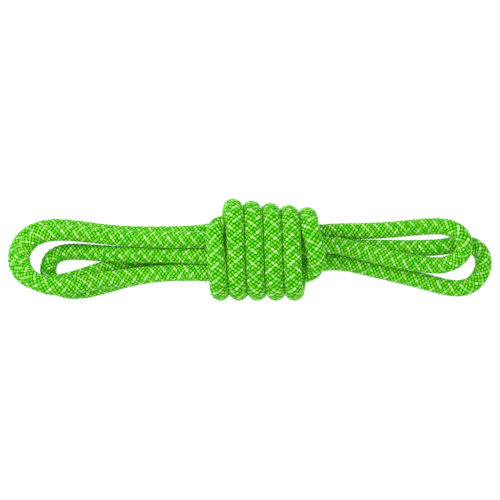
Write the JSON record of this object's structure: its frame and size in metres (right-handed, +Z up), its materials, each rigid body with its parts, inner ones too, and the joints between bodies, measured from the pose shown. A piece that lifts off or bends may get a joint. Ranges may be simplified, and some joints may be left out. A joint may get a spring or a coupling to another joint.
{
  "type": "dynamic climbing rope",
  "caption": "Kernmantle dynamic rope folded into a flat hank with looped bights at both ends and wrapped round its middle with its own tail.",
  "frame": {"origin": "middle of the hank, on the surface that it lies on", "axes": "+X along the hank towards the end with two bights, +Y across the hank, +Z up from the surface that it lies on"},
  "size_m": [0.303, 0.063, 0.047],
  "materials": {
    "sheath_yarn": "woven nylon, soft sheen",
    "accent_yarn": "woven nylon, soft sheen",
    "core_yarn": "twisted nylon",
    "melted_end": "melted nylon"
  },
  "bodies": {
    "root": {"start_seal": "melted_end", "sheath_start": "sheath_yarn", "sheath_inner_left_bight": "sheath_yarn", "sheath_pass_1": "sheath_yarn", "sheath_inner_right_bight": "sheath_yarn", "sheath_pass_2": "sheath_yarn", "sheath_outer_left_bight": "sheath_yarn", "sheath_pass_3": "sheath_yarn", "sheath_outer_right_bight": "sheath_yarn", "sheath_pass_4": "sheath_yarn", "sheath_middle_left_bight": "sheath_yarn", "sheath_pass_5": "sheath_yarn", "sheath_wrap_1": "sheath_yarn", "sheath_wrap_2": "sheath_yarn", "sheath_wrap_3": "sheath_yarn", "sheath_wrap_4": "sheath_yarn", "sheath_wrap_5": "sheath_yarn", "sheath_tail": "sheath_yarn", "tail_seal": "melted_end", "core_strand_1": "core_yarn", "core_strand_2": "core_yarn", "core_strand_3": "core_yarn", "core_strand_4": "core_yarn", "core_strand_5": "core_yarn", "core_strand_6": "core_yarn", "core_strand_7": "core_yarn"}
  },
  "joints": []
}
